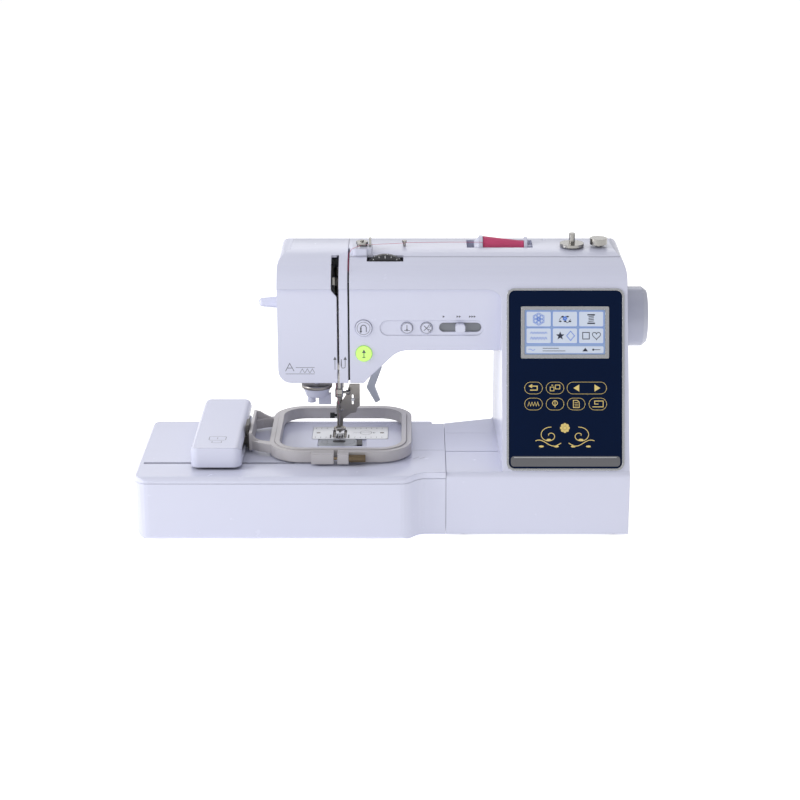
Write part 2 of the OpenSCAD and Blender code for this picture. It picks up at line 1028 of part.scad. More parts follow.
module unit_case() {
    color(white) {
        difference() {
            intersection() {
                unit_solid(0);
                block(-300, 100, -150, 150, 0, 66);
            }
            unit_solid(wall);
        }
        for (x = [-269, -88])
            difference() {
                block(x, x + 5, -82, -26, foot_h + 2, 58);
                for (y = [-70, -36])
                    rod_x(x - 1, x + 6, 3.01, y, 50);
            }
    }
}

module unit_cover() {
    color(white)
        difference() {
            intersection() {
                unit_solid(0);
                block(-300, 100, -150, 150, 66 + gap, 100);
            }
            unit_solid(wall);
            // slit for the carriage neck
            block(-268, -106, -55, -50.4, 60, 80);
        }
}

module unit_rods() {
    color(steel)
        for (y = [-70, -36])
            rod_x(-269, -83, 3, y, 50);
}

// slider on the X rods, neck through the slit, tray and Y rod of the carriage
module carriage_base() {
    color([0.3, 0.3, 0.32]) {
        difference() {
            block(-203, -175, -78, -28, 43, 57);
            for (y = [-70, -36])
                rod_x(-210, -170, 3.05, y, 50);
        }
        block(-199, -179, -53.9, -51.5, 56, 76);
        along_z(75, 78)
            rrect(-213.8, -164.2, -72.8, 86.8, 7);
        for (y = [-70, 82])
            block(-188, -176, y, y + 4, 77, 91);
        rod_y(-68, 84, 3, -182, 86);
    }
}

module carriage_cover() {
    top = 98;
    color(white)
        difference() {
            intersection() {
                along_z(76, top)
                    rrect(carriage_x, carriage_x + carriage_w, -75, 89, 9);
                along_y(-80, 95)
                    polygon(concat([[carriage_x - 0.1, 70]],
                        arc(carriage_x + 7, top - 7, 7, 180, 90, 6),
                        arc(carriage_x + carriage_w - 7, top - 7, 7, 90, 0, 6),
                        [[carriage_x + carriage_w, 70]]));
            }
            intersection() {
                along_z(70, top - 2)
                    rrect(carriage_x + 2, carriage_x + carriage_w - 2, -73, 87, 7);
                along_y(-80, 95)
                    polygon([[carriage_x + 2, 70], [carriage_x + 2, top - 7], [carriage_x + 7, top - 2],
                        [carriage_x + carriage_w - 7, top - 2], [carriage_x + carriage_w - 2, top - 7],
                        [carriage_x + carriage_w - 2, 70]]);
            }
            block(carriage_x + carriage_w - 4, carriage_x + carriage_w + 1, -52, 87, 79.5, 91);
        }
}

module hoop_holder() {
    color([0.35, 0.35, 0.36]) {
        difference() {
            block(-190, -173, -20, 12.5, 80, 92);
            rod_y(-30, 30, 3.05, -182, 86);
        }
        block(-174, -159, -16, 12, 82, 90);
        block(-160, -157.6, -17, 17, 77, 95);
    }
}

// square ring with rounded corners
module ring_plan(half, corner, width) {
    difference() {
        rrect(hoop_x - half, hoop_x + half, hoop_y - half, hoop_y + half, corner);
        rrect(hoop_x - half + width, hoop_x + half - width, hoop_y - half + width,
            hoop_y + half - width, corner - width);
    }
}

module hoop_outer() {
    color(hoop_grey)
        difference() {
            union() {
                along_z(75, 87)
                    ring_plan(hoop_half, hoop_corner, ring_w);
                // clamp blocks on both sides of the split
                block(-88, -48, clamp_y - 3.1, hoop_y - hoop_half + 2, 75.5, 86.5);
                // bracket plate and arms
                block(-157.4, -154.2, -21, 57, 76, 96);
                along_z(77, 87) {
                    polygon([[-157.4, -21], [-154, -21], [-146, -27], [-131, -34], [-131, -24],
                        [-144, -19], [-151, -12], [-157.4, -10]]);
                    polygon([[-157.4, 57], [-154, 57], [-147, 58], [-133, 62], [-133, 54],
                        [-146, 50], [-152, 46], [-157.4, 45]]);
                }
            }
            block(-64, -60, hoop_y - hoop_half - 10, hoop_y - hoop_half + ring_w + 0.2, 70, 90);
            rod_x(-90, -40, 1.55, clamp_y, 81);
        }
}

module hoop_inner() {
    color(hoop_grey)
        along_z(75.4, 88)
            ring_plan(hoop_half - ring_w - 0.3, hoop_corner - ring_w - 0.3, ring_w);
}

module hoop_screw() {
    color([0.5, 0.45, 0.38]) {
        rod_x(-80, -47, 1.5, clamp_y, 81);
        toothed_wheel(-47.7, -30, 4, clamp_y, 81, 18);
    }
}

base_pan();
rubber_feet();
main_frame();
front_housing();
rear_housing();
top_cover();
face_cover();
free_arm_cover();
needle_plate();
bobbin_cover();
bobbin_latch();
panel_bezel();
panel_glass();
lcd_frame();
lcd_screen();
control_board();
motor();
motor_pulley();
drive_belts();
upper_shaft();
handwheel();
lower_shaft();
rotary_hook();
bobbin_case();
bobbin();
feed_bar();
feed_dogs();
take_up_lever();
needle_rocker();
needle_bar();
needle();
needle_screw();
presser_bar();
embroidery_foot();
foot_screw();
presser_lever();
threader_lever();
threader_unit();
reverse_button();
start_button();
needle_button();
cutter_button();
speed_slider();
tension_dial();
guide_posts();
spool_pin();
spool_cap();
thread_spool();
winder_shaft();
power_inlet();
power_switch();
unit_case();
unit_cover();
unit_rods();
carriage_base();
carriage_cover();
hoop_holder();
hoop_outer();
hoop_inner();
hoop_screw();
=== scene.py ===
import bpy
import json
import math
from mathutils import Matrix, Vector


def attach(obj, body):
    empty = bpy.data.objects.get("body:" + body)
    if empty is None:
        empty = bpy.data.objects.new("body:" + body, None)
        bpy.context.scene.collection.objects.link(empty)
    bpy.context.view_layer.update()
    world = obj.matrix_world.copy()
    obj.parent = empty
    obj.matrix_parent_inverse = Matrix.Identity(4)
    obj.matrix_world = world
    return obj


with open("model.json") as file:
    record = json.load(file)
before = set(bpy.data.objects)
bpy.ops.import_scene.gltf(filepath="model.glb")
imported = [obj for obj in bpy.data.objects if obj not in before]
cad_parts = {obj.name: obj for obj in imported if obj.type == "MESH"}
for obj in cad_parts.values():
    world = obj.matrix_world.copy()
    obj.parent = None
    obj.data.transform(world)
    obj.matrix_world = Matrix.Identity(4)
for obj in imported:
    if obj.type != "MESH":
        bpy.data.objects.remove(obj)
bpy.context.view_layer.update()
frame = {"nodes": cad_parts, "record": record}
nodes = frame["nodes"]
MM = 0.001
BUMP_DEPTH = 0.0004


# ---------- materials ----------

def node(tree, kind, **values):
    n = tree.nodes.new(kind)
    for key, value in values.items():
        n.inputs[key].default_value = value
    return n


def finish_of(name, color, rough, metal=0.0, vary=0.04, bump=0.02, grain=300.0,
              round_edge=0.0006, transmission=0.0, alpha=1.0, glow=0.0, shine=0.5,
              uneven=0.2, stretch=(1, 1, 1), rings=0.0):
    """Finish with clouded colour, uneven roughness, fine surface grain and softened edges."""
    m = bpy.data.materials.new(name)
    m.use_nodes = True
    t = m.node_tree
    t.nodes.clear()
    out = t.nodes.new("ShaderNodeOutputMaterial")
    bsdf = node(t, "ShaderNodeBsdfPrincipled", Metallic=metal, Alpha=alpha)
    bsdf.inputs["Transmission Weight"].default_value = transmission
    bsdf.inputs["Specular IOR Level"].default_value = shine
    t.links.new(bsdf.outputs[0], out.inputs[0])
    coord = t.nodes.new("ShaderNodeTexCoord")
    mapping = t.nodes.new("ShaderNodeMapping")
    mapping.inputs["Scale"].default_value = stretch
    t.links.new(coord.outputs["Object"], mapping.inputs["Vector"])
    cloud = node(t, "ShaderNodeTexNoise", Scale=14.0, Detail=4.0, Roughness=0.6)
    t.links.new(mapping.outputs[0], cloud.inputs["Vector"])
    ramp = t.nodes.new("ShaderNodeValToRGB")
    lo, hi = ramp.color_ramp.elements
    lo.position, hi.position = 0.3, 0.7
    lo.color = (*[c * (1 - vary) for c in color], 1)
    hi.color = (*[min(1.0, c * (1 + vary)) for c in color], 1)
    t.links.new(cloud.outputs["Fac"], ramp.inputs["Fac"])
    t.links.new(ramp.outputs["Color"], bsdf.inputs["Base Color"])
    if glow:
        t.links.new(ramp.outputs["Color"], bsdf.inputs["Emission Color"])
        bsdf.inputs["Emission Strength"].default_value = glow
    wear = node(t, "ShaderNodeTexNoise", Scale=60.0, Detail=6.0, Roughness=0.65)
    t.links.new(mapping.outputs[0], wear.inputs["Vector"])
    spread = t.nodes.new("ShaderNodeMapRange")
    spread.inputs["To Min"].default_value = max(0.02, rough * (1 - uneven))
    spread.inputs["To Max"].default_value = min(1.0, rough * (1 + uneven))
    t.links.new(wear.outputs["Fac"], spread.inputs["Value"])
    t.links.new(spread.outputs[0], bsdf.inputs["Roughness"])
    fine = node(t, "ShaderNodeTexNoise", Scale=grain, Detail=3.0, Roughness=0.5)
    t.links.new(mapping.outputs[0], fine.inputs["Vector"])
    bumped = node(t, "ShaderNodeBump", Strength=bump, Distance=BUMP_DEPTH)
    t.links.new(fine.outputs["Fac"], bumped.inputs["Height"])
    if rings:
        wave = node(t, "ShaderNodeTexWave", Scale=rings, Distortion=0.4, Detail=1.0)
        wave.bands_direction = "X"
        t.links.new(coord.outputs["Object"], wave.inputs["Vector"])
        wound = node(t, "ShaderNodeBump", Strength=0.6, Distance=BUMP_DEPTH)
        t.links.new(wave.outputs["Fac"], wound.inputs["Height"])
        t.links.new(wound.outputs[0], bumped.inputs["Normal"])
    elif round_edge:
        soft = node(t, "ShaderNodeBevel", Radius=round_edge)
        soft.samples = 4
        t.links.new(soft.outputs[0], bumped.inputs["Normal"])
    t.links.new(bumped.outputs[0], bsdf.inputs["Normal"])
    return m


MATS = {
    "body_white": finish_of(
        "body_white", (0.635, 0.65, 0.79), 0.27, vary=0.004, bump=0.004, grain=1400,
        round_edge=0.0012, uneven=0.04),
    # handwheel: body white darkened, painted shade standing in for the shaded handwheel
    "wheel_white_painted_shade": finish_of(
        "wheel_white_painted_shade", (0.46, 0.475, 0.58), 0.27, vary=0.004, bump=0.004, grain=1400,
        round_edge=0.0012, uneven=0.04),
    "base_grey": finish_of("base_grey", (0.50, 0.52, 0.58), 0.5, bump=0.08, grain=900),
    "frame_cast": finish_of(
        "frame_cast", (0.55, 0.56, 0.57), 0.5, 1.0, vary=0.08, bump=0.3, grain=700),
    "foot_rubber": finish_of(
        "foot_rubber", (0.03, 0.03, 0.032), 0.75, vary=0.15, bump=0.2, grain=900),
    "steel_polished": finish_of(
        "steel_polished", (0.36, 0.35, 0.335), 0.20, 1.0, bump=0.02, round_edge=0.0003),
    "steel_brushed": finish_of(
        "steel_brushed", (0.34, 0.32, 0.30), 0.34, 1.0, vary=0.06, bump=0.15, grain=260,
        stretch=(0.15, 4, 4), round_edge=0.0004),
    "plate_steel": finish_of(
        "plate_steel", (0.62, 0.63, 0.66), 0.42, 1.0, vary=0.03, bump=0.08, grain=400,
        stretch=(0.2, 3, 3), round_edge=0.0004),
    "clear_cover": finish_of(
        "clear_cover", (0.72, 0.75, 0.80), 0.12, vary=0.02, alpha=0.42, bump=0.01,
        round_edge=0.0005),
    "panel_navy": finish_of(
        "panel_navy", (0.0012, 0.0075, 0.033), 0.12, vary=0.05, bump=0.006, shine=0.10,
        round_edge=0.0005),
    "silver_trim": finish_of(
        "silver_trim", (0.66, 0.67, 0.70), 0.24, 1.0, bump=0.02, round_edge=0.0005),
    "screen_blue": finish_of(
        "screen_blue", (0.26, 0.36, 0.60), 0.25, vary=0.02, bump=0.0, glow=0.10, round_edge=0.0),
    "board_green": finish_of("board_green", (0.03, 0.18, 0.08), 0.45, vary=0.1, bump=0.1),
    "motor_black": finish_of("motor_black", (0.03, 0.03, 0.035), 0.45, vary=0.1, bump=0.1),
    "belt_rubber": finish_of("belt_rubber", (0.02, 0.02, 0.02), 0.7, vary=0.15, bump=0.2),
    "dark_plastic": finish_of(
        "dark_plastic", (0.022, 0.022, 0.026), 0.42, vary=0.12, bump=0.08, grain=900),
    "bobbin_clear": finish_of(
        "bobbin_clear", (0.75, 0.78, 0.80), 0.15, transmission=0.5, bump=0.01),
    "lever_grey": finish_of(
        "lever_grey", (0.47, 0.50, 0.57), 0.35, vary=0.04, bump=0.04, grain=700),
    "button_green": finish_of(
        "button_green", (0.52, 0.88, 0.18), 0.3, vary=0.03, bump=0.01, glow=0.35,
        round_edge=0.0008),
    "thread_pink": finish_of(
        "thread_pink", (0.60, 0.055, 0.17), 0.62, vary=0.10, bump=0.2, grain=1500, rings=330.0),
    "carriage_grey": finish_of(
        "carriage_grey", (0.10, 0.095, 0.09), 0.4, 0.5, vary=0.1, bump=0.08),
    "hoop_grey": finish_of(
        "hoop_grey", (0.52, 0.50, 0.515), 0.42, vary=0.03, bump=0.10, grain=900, round_edge=0.0009),
    "bronze": finish_of("bronze", (0.30, 0.23, 0.15), 0.38, 1.0, vary=0.1, bump=0.1),
}
MARK_GREY = finish_of("mark_grey", (0.10, 0.105, 0.13), 0.55, vary=0.05, bump=0.02, round_edge=0.0)
MARK_WHITE = finish_of("mark_white", (0.85, 0.86, 0.88), 0.5, vary=0.02, bump=0.02, round_edge=0.0)
# gold print with a slight glow that is painted light
MARK_GOLD_GLOW = finish_of(
    "mark_gold_painted_glow", (0.72, 0.56, 0.20), 0.45, 0.2, vary=0.04, bump=0.02, round_edge=0.0, glow=0.08)
MARK_BAND = finish_of(
    "mark_band", (0.20, 0.20, 0.215), 0.3, 0.7, vary=0.05, bump=0.03, stretch=(0.2, 3, 3),
    round_edge=0.0)
# near-black fill for painted shade in openings and under the clear bobbin cover
PAINTED_SHADE = finish_of("painted_shade_dark", (0.012, 0.013, 0.018), 0.5, vary=0.1, bump=0.02, round_edge=0.0)
TILE_WHITE = finish_of(
    "tile_white", (0.58, 0.64, 0.76), 0.3, vary=0.02, bump=0.0, round_edge=0.0, glow=0.08)
TILE_BLUE = finish_of(
    "tile_blue", (0.10, 0.22, 0.66), 0.3, vary=0.03, bump=0.0, round_edge=0.0, glow=0.10)
TILE_INK = finish_of("tile_ink", (0.02, 0.025, 0.05), 0.3, vary=0.05, bump=0.0, round_edge=0.0)
SLOT_GREY = finish_of("slot_grey", (0.20, 0.21, 0.235), 0.5, vary=0.05, bump=0.05, round_edge=0.0)

# the handwheel takes the painted-shade copy of body white
NODE_FINISH = {"needle_plate": "plate_steel", "handwheel": "wheel_white_painted_shade"}
for sub in frame["record"]["subparts"]:
    name = sub["node"]
    if name in nodes:
        mesh = nodes[name].data
        mesh.materials.clear()
        mesh.materials.append(MATS[NODE_FINISH.get(name, sub["material_slot"])])


# ---------- flat printed marks ----------

# heights and faces of the machine, in mm
FACE_Y, STRIP_Y, THREAD_SLOT_SHADE_Y, DIAL_Y = -15, -12.3, -10.8, 4
BED_Z, COVER_Z, PLATE_Z, CARRIAGE_Z = 73, 73.2, 73.3, 98
SLOPE_Y, CREASE_Y, CREASE_Z = -78, -17, 258
DIAL_X, DIAL_Z, DIAL_R = -9, 262, 26.5
SLOPE = math.atan((CREASE_Y - SLOPE_Y) / (CREASE_Z - BED_Z))


def on_upright(y):
    return lambda x, z, lift=0.0: Vector((x, y - lift, z)) * MM


def on_panel(x, v, lift=0.0):
    c, s = math.cos(SLOPE), math.sin(SLOPE)
    return Vector((x, SLOPE_Y + v * s - lift * c, BED_Z + v * c + lift * s)) * MM


def on_level(height):
    return lambda x, y, lift=0.0: Vector((x, y, height + lift)) * MM


class Marks:
    """Collects lines and filled shapes of one colour on one surface."""

    def __init__(self, name, place, material, body="machine", lift=0.06, thick=0.05):
        self.name, self.place, self.material, self.body = name, place, material, body
        self.lift, self.thick = lift, thick
        self.verts, self.faces = [], []

    def fill(self, pts):
        base = len(self.verts)
        n = len(pts)
        self.verts += [self.place(x, y, self.lift) for x, y in pts]
        self.verts += [self.place(x, y, self.lift - self.thick) for x, y in pts]
        self.faces.append(list(range(base, base + n)))
        for i in range(n):
            j = (i + 1) % n
            self.faces.append([base + i, base + n + i, base + n + j, base + j])
        return self

    def line(self, pts, w, closed=False):
        pts = [Vector(p) for p in pts]
        n = len(pts)
        left, right = [], []
        for i, p in enumerate(pts):
            a = pts[i - 1] if (i or closed) else None
            b = pts[(i + 1) % n] if (i < n - 1 or closed) else None
            d1 = (p - a).normalized() if a is not None else (b - p).normalized()
            d2 = (b - p).normalized() if b is not None else d1
            d = d1 + d2
            d = d.normalized() if d.length > 1e-6 else d1
            side = Vector((-d.y, d.x))
            scale = 1 / max(0.5, abs(side.dot(Vector((-d2.y, d2.x)))))
            left.append(p + side * w / 2 * scale)
            right.append(p - side * w / 2 * scale)
        base = len(self.verts)
        for a, b in zip(left, right):
            self.verts += [self.place(a.x, a.y, self.lift), self.place(b.x, b.y, self.lift)]
        for i in range(n if closed else n - 1):
            j = (i + 1) % n
            self.faces.append([base + 2 * i, base + 2 * i + 1, base + 2 * j + 1, base + 2 * j])
        return self

    def disc(self, x, y, r, n=28):
        return self.fill(ring(x, y, r, r, n))

    def circle(self, x, y, r, w, n=40):
        return self.line(ring(x, y, r, r, n), w, True)

    def make(self):
        mesh = bpy.data.meshes.new(self.name)
        mesh.from_pydata([tuple(v) for v in self.verts], [], self.faces)
        mesh.update()
        mesh.materials.append(self.material)
        o = bpy.data.objects.new(self.name, mesh)
        bpy.context.scene.collection.objects.link(o)
        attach(o, self.body)
        return o


def ring(x, y, rx, ry, n=40, a0=0.0, a1=360.0):
    full = abs(a1 - a0) >= 360
    steps = n if full else n + 1
    return [(x + rx * math.cos(math.radians(a0 + (a1 - a0) * i / n)),
             y + ry * math.sin(math.radians(a0 + (a1 - a0) * i / n))) for i in range(steps)]


def pill(x0, x1, y0, y1, r=None):
    r = min(r or 99, (x1 - x0) / 2, (y1 - y0) / 2)
    pts = []
    corners = ((x1 - r, y1 - r, 0), (x0 + r, y1 - r, 90), (x0 + r, y0 + r, 180), (x1 - r, y0 + r, 270))
    for cx, cy, a in corners:
        pts += ring(cx, cy, r, r, 8, a, a + 90)
    return pts


def scaled(pts, x, y, k):
    return [(x + px * k, y + py * k) for px, py in pts]


# screen: six tiles and a bottom bar
X0, X1, V0, V1 = 139.4, 224.6, 124.1, 171.3
tiles = Marks("screen_tiles", on_panel, TILE_WHITE, lift=0.30)
blue = Marks("screen_blue_icons", on_panel, TILE_BLUE, lift=0.40)
ink = Marks("screen_ink_icons", on_panel, TILE_INK, lift=0.40)
tile_w, tile_h = (X1 - X0 - 4 * 1.6) / 3, 16.2
centres = []
for row in range(2):
    for col in range(3):
        x = X0 + 1.6 + col * (tile_w + 1.6)
        v = V1 - 1.6 - (row + 1) * tile_h - row * 1.6
        tiles.fill(pill(x, x + tile_w, v, v + tile_h, 1.6))
        blue.line(pill(x, x + tile_w, v, v + tile_h, 1.6), 0.35, True)
        centres.append((x + tile_w / 2, v + tile_h / 2))
tiles.fill(pill(X0 + 1.6, X1 - 1.6, V0 + 1.4, V0 + 8.6, 1.4))
tiles.make()
# petals in a hexagon
cx, cy = centres[0]
for k in range(6):
    a = math.radians(60 * k + 30)
    blue.circle(cx + 3 * math.cos(a), cy + 3 * math.sin(a), 2.4, 0.5, 6)
blue.circle(cx, cy, 2.4, 0.5, 6)
blue.line(ring(cx, cy, 6.6, 6.6, 6, 30, 390), 0.5, True)
# sprig with leaves
cx, cy = centres[1]
ink.line([(cx - 6 + t, cy + 3 * math.sin(t * 0.55) - 1) for t in range(13)], 0.5)
for k in range(5):
    ink.fill(scaled(ring(0, 0, 1.5, 0.8, 12), cx - 5 + 2.6 * k, cy + (2.6 if k % 2 else -2.4), 1))
for k in range(5):
    a = math.radians(72 * k)
    blue.disc(cx + 1.5 * math.cos(a), cy + 1.5 * math.sin(a) + 0.6, 1.1, 12)
# thread reel
cx, cy = centres[2]
ink.fill([(cx - 4, cy + 5.2), (cx + 4, cy + 5.2), (cx + 4, cy + 3.8), (cx - 4, cy + 3.8)])
ink.fill([(cx - 4, cy - 3.8), (cx + 4, cy - 3.8), (cx + 4, cy - 5.2), (cx - 4, cy - 5.2)])
for k in range(4):
    ink.line([(cx - 2.9, cy - 2.6 + 1.7 * k), (cx + 2.9, cy - 2.0 + 1.7 * k)], 0.7)
# running stitches
cx, cy = centres[3]
for r, amp in ((3.2, 1.6), (-2.6, 2.2)):
    blue.line([(cx - 9 + i * 1.5, cy + r + (amp if i % 2 else -amp) * 0.6)
               for i in range(13)], 0.55)
# star and diamond
cx, cy = centres[4]
ink.fill([(cx - 5 + (4.6 if i % 2 == 0 else 2.0) * math.sin(math.radians(36 * i)),
           cy + (4.6 if i % 2 == 0 else 2.0) * math.cos(math.radians(36 * i))) for i in range(10)])
blue.line([(cx + 6, cy + 5), (cx + 10.2, cy), (cx + 6, cy - 5), (cx + 1.8, cy)], 0.7, True)
# square and heart
cx, cy = centres[5]
ink.line([(cx - 9, cy - 3.4), (cx - 2, cy - 3.4), (cx - 2, cy + 3.6), (cx - 9, cy + 3.6)],
         0.8, True)
heart = [(16 * math.sin(a) ** 3,
          13 * math.cos(a) - 5 * math.cos(2 * a) - 2 * math.cos(3 * a) - math.cos(4 * a))
         for a in [2 * math.pi * i / 36 for i in range(36)]]
ink.line(scaled(heart, cx + 5.6, cy + 0.4, 0.27), 0.7, True)
# bottom bar symbols
vb = V0 + 5.0
blue.line([(X0 + 4 + i, vb + 0.8 * math.sin(i)) for i in range(8)], 0.5)
for k, w in enumerate((17, 24)):
    ink.line([(X0 + 19, vb + 1.5 - 2.8 * k), (X0 + 19 + w, vb + 1.5 - 2.8 * k)], 0.55)
ink.fill([(X1 - 24, vb - 1.8), (X1 - 18, vb - 1.8), (X1 - 21, vb + 2.0)])
ink.line([(X1 - 13, vb), (X1 - 5, vb)], 0.6)
ink.disc(X1 - 12.5, vb, 1.1, 12)
blue.make()
ink.make()

# touch keys with gold outlines, the gold print given a slight painted glow
gold = Marks("panel_keys", on_panel, MARK_GOLD_GLOW, lift=0.66)
key_centres = ((148.7, 88.4), (171.5, 88.4), (148.7, 71.4), (171.5, 71.4), (194.0, 71.4), (216.9, 71.4))
for x, v in key_centres:
    gold.line(pill(x - 9.4, x + 9.4, v - 6.3, v + 6.3), 0.38, True)
gold.line(pill(184.3, 226.2, 82.1, 94.7), 0.38, True)
# back arrow
gold.line([(152.6, 85.8), (152.6, 90.4), (146.2, 90.4)], 1.0)
gold.line([(152.6, 86.2), (145, 86.2)], 1.0)
gold.fill([(143.4, 90.4), (147.2, 92.6), (147.2, 88.2)])
# two stacked squares with an arrow
gold.line([(166.4, 85.4), (170.4, 85.4), (170.4, 89.4), (166.4, 89.4)], 0.7, True)
gold.line([(171.8, 87.4), (176.6, 87.4), (176.6, 91.6), (171.8, 91.6)], 0.7, True)
gold.line([(167.6, 91.4), (169.6, 91.4)], 0.7)
# left and right arrows
gold.fill([(191, 88.4), (197.2, 92.2), (197.2, 84.6)])
gold.fill([(219.6, 88.4), (213.4, 92.2), (213.4, 84.6)])
# stitch pattern
gold.line([(142.6 + 1.5 * i, 71.4 + (2.2 if i % 2 else -2.2)) for i in range(9)], 0.6)
# needle plate symbol
gold.circle(171.5, 72.4, 2.6, 0.7, 20)
gold.line([(171.5, 75.2), (171.5, 68)], 0.7)
# sheet of paper
gold.line([(191, 67.6), (197.2, 67.6), (197.2, 73.4), (195, 75.4), (191, 75.4)], 0.7, True)
for k in range(3):
    gold.line([(192.2, 69.4 + 1.8 * k), (196, 69.4 + 1.8 * k)], 0.45)
# machine outline
gold.line([(211.2, 68.4), (222.6, 68.4), (222.6, 74.6), (213.6, 74.6), (213.6, 71.4), (217.6, 71.4)],
          0.8)
# flourish ornament
for side in (-1, 1):
    ox = 182
    spiral = [(ox + side * (16 + (0.9 + 0.42 * i) * math.cos(0.32 * i)),
               38 + (0.9 + 0.42 * i) * math.sin(0.32 * i) * 0.8) for i in range(26)]
    gold.line(spiral, 0.75)
    gold.line([(ox + side * (4 + 2.1 * i), 30 - 3.2 * math.sin(0.42 * i)) for i in range(14)], 0.8)
    for k in range(3):
        gold.fill(scaled(ring(0, 0, 2.6, 1.1, 14), ox + side * (9 + 8 * k), 26.4 + (k % 2) * 7, 1))
for k in range(8):
    a = math.radians(45 * k)
    gold.fill(scaled(ring(0, 0, 1.7, 1.7, 12), 182 + 3.6 * math.cos(a), 46 + 3.6 * math.sin(a), 1))
gold.disc(182, 46, 1.9, 16)
gold.make()
band = Marks("panel_band", on_panel, MARK_BAND, lift=0.66)
band.fill(pill(124.6, 240.7, 5.0, 16.0, 3.5)).make()
thin = Marks("panel_band_lines", on_panel, MARK_WHITE, lift=0.72)
thin.line([(128, 14.6), (237, 14.6)], 0.35).make()

# arm face: threading symbols, button and slider symbols
grey = Marks("face_marks", on_upright(FACE_Y), MARK_GREY, lift=0.06)
# threading diagram near the head's lower left
grey.line([(-116.5, 164.4), (-112, 173.4), (-107.4, 164.4)], 0.7)
grey.line([(-114.2, 168.0), (-109.8, 168.0)], 0.7)
grey.line([(-105.5, 168.6), (-85.2, 168.6)], 0.45)
grey.line([(-116.5, 161.4), (-85.2, 161.4)], 0.45)
for k in range(3):
    grey.line([(-101 + 5.4 * k, 162.6), (-98.4 + 5.4 * k, 167.2), (-96 + 5.4 * k, 162.6)], 0.45)
# arrows beside the thread slots
grey.line([(-63.2, 166), (-63.2, 178)], 0.6)
grey.fill([(-63.2, 181), (-65, 177.2), (-61.4, 177.2)])
grey.line([(-56.4, 178), (-56.4, 170), *ring(-54.3, 170, 2.1, 2.1, 8, 180, 360), (-52.2, 178)], 0.6)
grey.fill([(-52.2, 181), (-54, 177.2), (-50.4, 177.2)])
# speed marks
for k, x in enumerate((53.6, 69.6, 84.2)):
    for i in range(k + 1):
        grey.fill(scaled([(-1.1, -1.3), (1.1, 0), (-1.1, 1.3)], x + 2.5 * (i - k / 2), 225.6, 1))
grey.make()


def button_mark(name, body, proud, material, draw):
    m = Marks(name, on_upright(FACE_Y - proud), material, body, lift=0.06)
    draw(m)
    m.make()


def reverse_mark(m):
    m.circle(-32.1, 212.9, 6.9, 0.45)
    m.line([(-35, 208.8), (-35, 213.6), *ring(-32.1, 213.6, 2.9, 2.9, 12, 180, 0), (-29.2, 208.8)],
           0.9)
    m.fill([(-36.4, 210.2), (-33.6, 210.2), (-35, 207.4)])


def start_mark(m):
    m.line([(-31.9, 179.6), (-31.9, 186)], 0.9)
    m.fill([(-34.1, 185.4), (-29.7, 185.4), (-31.9, 189.4)])
    m.line([(-33.8, 180.6), (-30, 180.6)], 0.7)


def needle_mark(m):
    m.circle(14.3, 212.9, 5.6, 0.4)
    m.line([(14.3, 216.4), (14.3, 211)], 0.7)
    m.line([(11.2, 210.4), (17.4, 210.4)], 0.6)
    m.fill([(13.4, 211.8), (15.2, 211.8), (14.3, 209)])


def cutter_mark(m):
    m.circle(35.2, 212.9, 5.6, 0.4)
    m.line([(32.4, 215.6), (37.0, 211.2)], 0.7)
    m.line([(32.4, 210.2), (37.0, 214.6)], 0.7)
    m.circle(38.2, 210.6, 1.2, 0.5, 14)
    m.circle(38.2, 215.2, 1.2, 0.5, 14)


button_mark("reverse_mark", "reverse_button", 1.4, MARK_GREY, reverse_mark)
button_mark("start_mark", "start_button", 1.6, MARK_GREY, start_mark)
button_mark("needle_mark", "needle_button", 0.6, MARK_GREY, needle_mark)
button_mark("cutter_mark", "cutter_button", 0.6, MARK_GREY, cutter_mark)
# grey strip behind the slider's slot
strip = Marks("slider_slot_strip", on_upright(STRIP_Y), SLOT_GREY, lift=0.0)
strip.fill(pill(49, 93.4, 207.6, 219.4, 5.2)).make()

# carriage symbol, bed and needle plate marks, and painted shade in the feed slots, under the bobbin
# cover and behind the thread slot
top = Marks("carriage_mark", on_level(CARRIAGE_Z), MARK_GREY, "carriage", lift=0.06)
top.line(pill(-198, -180, -50, -38, 2.5), 0.55, True)
top.line([(-194, -52.5), (-194, -58), (-184, -58), (-184, -52.5)], 0.5)
top.line([(-189, -47), (-189, -41)], 0.5)
top.make()
plate = Marks("plate_marks", on_level(PLATE_Z), MARK_GREY, lift=0.05)
for k in range(6):
    plate.line([(-44 + 6 * k, 27), (-44 + 6 * k, 31)], 0.45)
    plate.line([(-44 + 6 * k, 57), (-44 + 6 * k, 61)], 0.45)
for k in range(3):
    plate.line([(-88 + 6 * k, 27), (-88 + 6 * k, 31)], 0.45)
    plate.line([(-88 + 6 * k, 57), (-88 + 6 * k, 61)], 0.45)
plate.circle(-32, 44, 6.5, 0.45)
plate.line([(-46, 44), (-24, 44)], 0.4)
plate.fill([(-21, 44), (-24, 45.6), (-24, 42.4)])
plate.make()
# painted shade: dark bars standing in for the shaded openings of the feed dog slots
feed_shade = Marks("feed_slot_painted_shade", on_level(PLATE_Z), PAINTED_SHADE, lift=0.04)
for x in (-71.0, -63.9, -58.1, -51.0):
    feed_shade.fill([(x - 0.8, 26.5), (x + 0.8, 26.5), (x + 0.8, 37.5), (x - 0.8, 37.5)])
feed_shade.fill([(-61.8, 26.5), (-60.2, 26.5), (-60.2, 33.5), (-61.8, 33.5)])
feed_shade.make()
